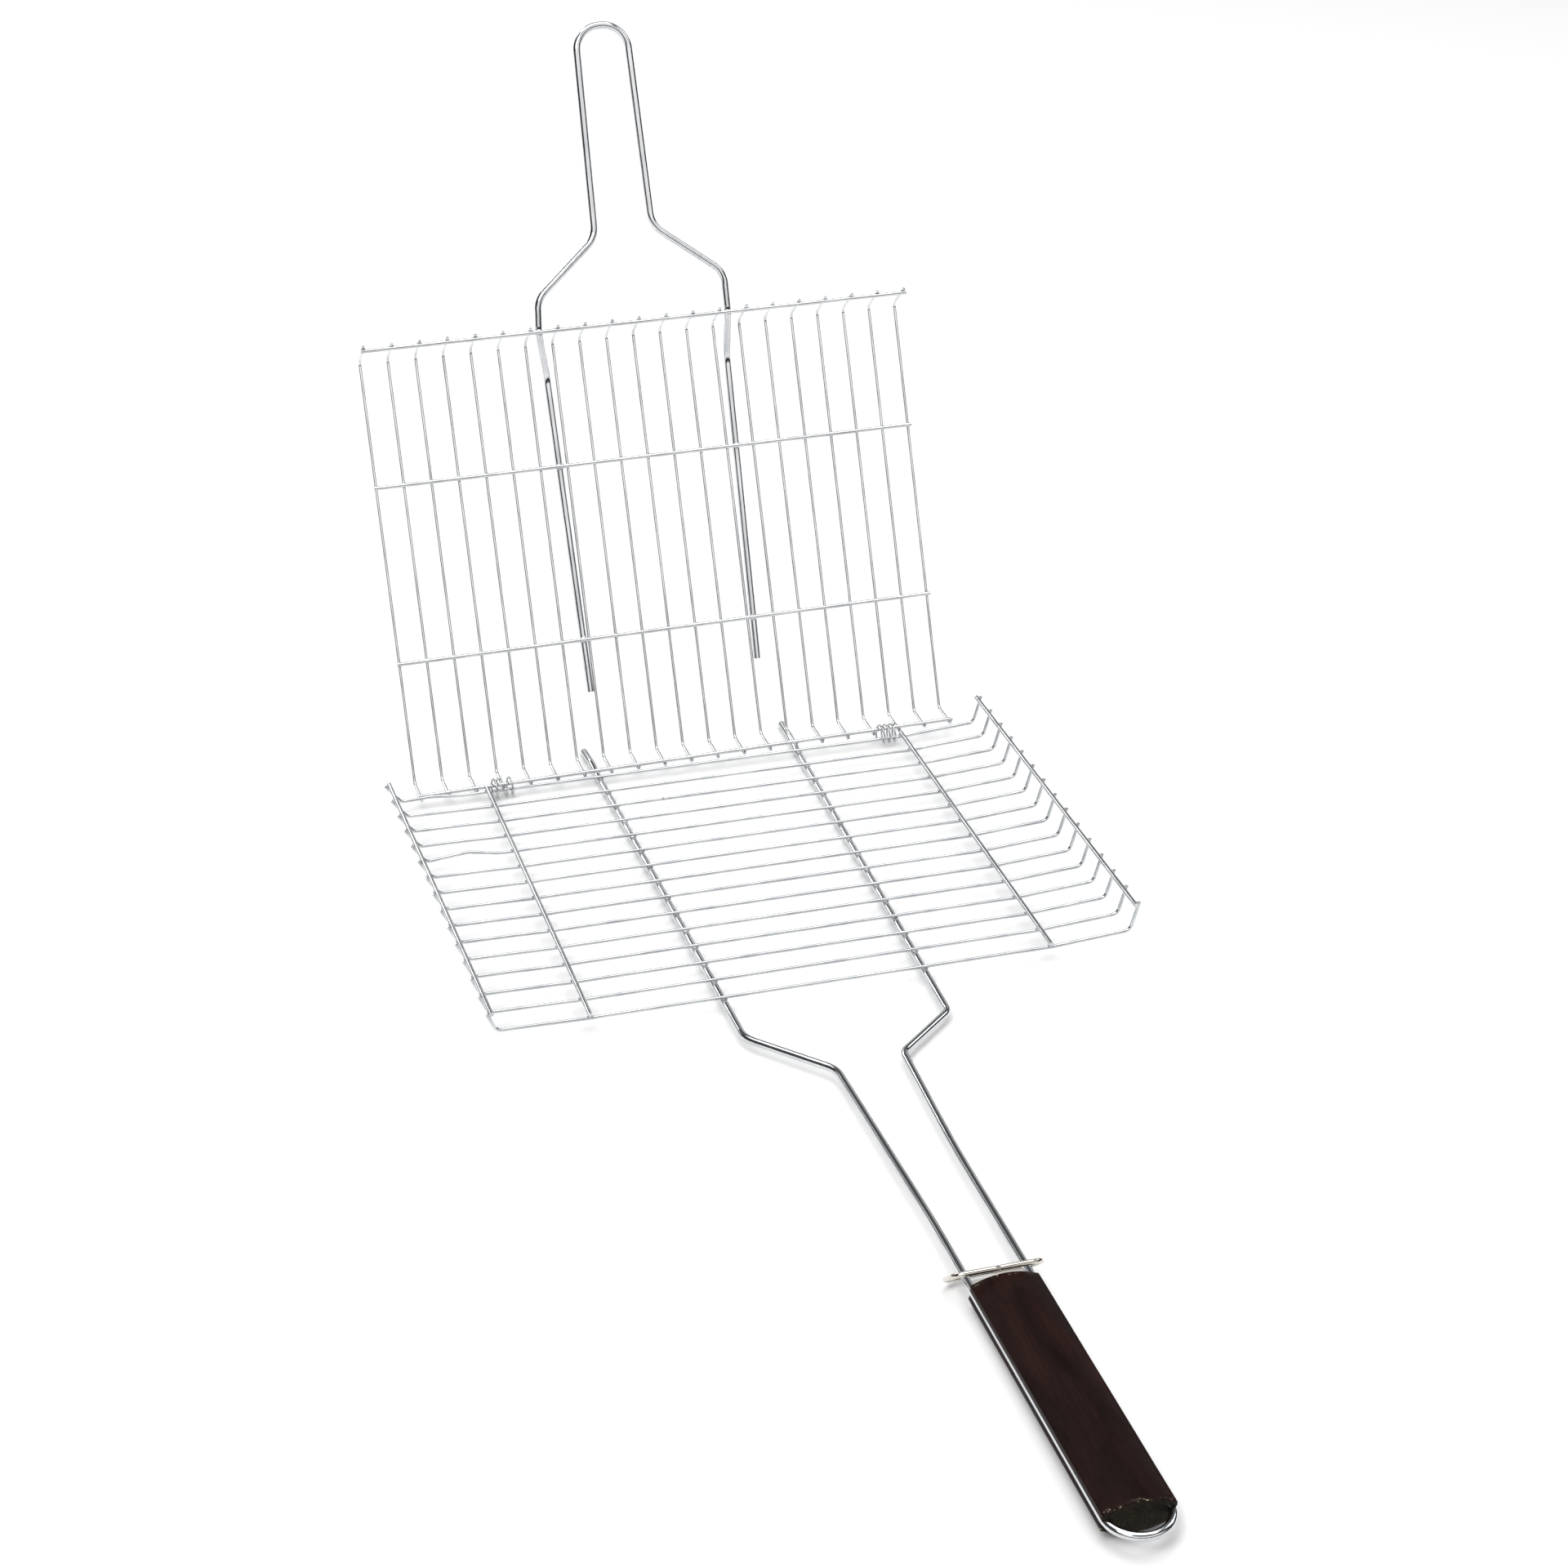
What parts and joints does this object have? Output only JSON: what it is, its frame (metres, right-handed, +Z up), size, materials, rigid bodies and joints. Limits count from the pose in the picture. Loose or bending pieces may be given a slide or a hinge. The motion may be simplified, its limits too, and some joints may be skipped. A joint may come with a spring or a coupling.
{
  "type": "grill basket",
  "caption": "Hinged wire grilling basket, shown open: a shallow tray and a folding lid on loose coils, twin wire handles, a wooden grip and a sliding lock ring.",
  "frame": {"origin": "under the middle of the tray, on the plane that the undersides of the two handle legs rest on", "axes": "+X to the right seen from the grip, +Y from the grip towards the hinge, +Z up; the lid stands open"},
  "size_m": [0.351, 0.8266, 0.3921],
  "materials": {
    "grid_wire": "bright plated steel wire, fairly dull mirror",
    "handle_wire": "bright plated steel wire",
    "ring_wire": "bright plated steel wire",
    "coil_wire": "bright plated spring wire",
    "painted_wood": "dark red-brown stain and varnish over a straight grain"
  },
  "bodies": {
    "tray": {"tray_wire_01": "grid_wire", "tray_wire_02": "grid_wire", "tray_wire_03": "grid_wire", "tray_wire_04": "grid_wire", "tray_wire_05": "grid_wire", "tray_wire_06": "grid_wire", "tray_wire_07": "grid_wire", "tray_wire_08": "grid_wire", "tray_wire_09": "grid_wire", "tray_wire_10": "grid_wire", "tray_wire_11": "grid_wire", "tray_wire_12": "grid_wire", "tray_wire_13": "grid_wire", "tray_wire_14": "grid_wire", "tray_wire_15": "grid_wire", "tray_rim_left": "grid_wire", "tray_rim_right": "grid_wire", "tray_cross_wire_left": "grid_wire", "tray_cross_wire_right": "grid_wire", "tray_handle_wire": "handle_wire", "grip": "painted_wood", "hinge_coil_left": "coil_wire", "hinge_coil_right": "coil_wire"},
    "lid": {"lid_wire_01": "grid_wire", "lid_wire_02": "grid_wire", "lid_wire_03": "grid_wire", "lid_wire_04": "grid_wire", "lid_wire_05": "grid_wire", "lid_wire_06": "grid_wire", "lid_wire_07": "grid_wire", "lid_wire_08": "grid_wire", "lid_wire_09": "grid_wire", "lid_wire_10": "grid_wire", "lid_wire_11": "grid_wire", "lid_wire_12": "grid_wire", "lid_wire_13": "grid_wire", "lid_wire_14": "grid_wire", "lid_wire_15": "grid_wire", "lid_wire_16": "grid_wire", "lid_wire_17": "grid_wire", "lid_wire_18": "grid_wire", "lid_wire_19": "grid_wire", "lid_wire_20": "grid_wire", "lid_wire_21": "grid_wire", "lid_rear_rim": "grid_wire", "lid_front_rim": "grid_wire", "lid_cross_wire_rear": "grid_wire", "lid_cross_wire_front": "grid_wire", "lid_handle_wire": "handle_wire"},
    "ring": {"lock_ring": "ring_wire"}
  },
  "joints": [
    {"name": "lid_hinge", "type": "hinge", "parent": "tray", "child": "lid", "pos_m": [0, 0.1235, 0.0073], "axis": [0.9999, 0.0087, 0.0087], "range_deg": [0, 113.3]},
    {"name": "ring_slide", "type": "slide", "parent": "tray", "child": "ring", "axis": [-0.004, 1, 0], "range_m": [0, 0.1]}
  ]
}
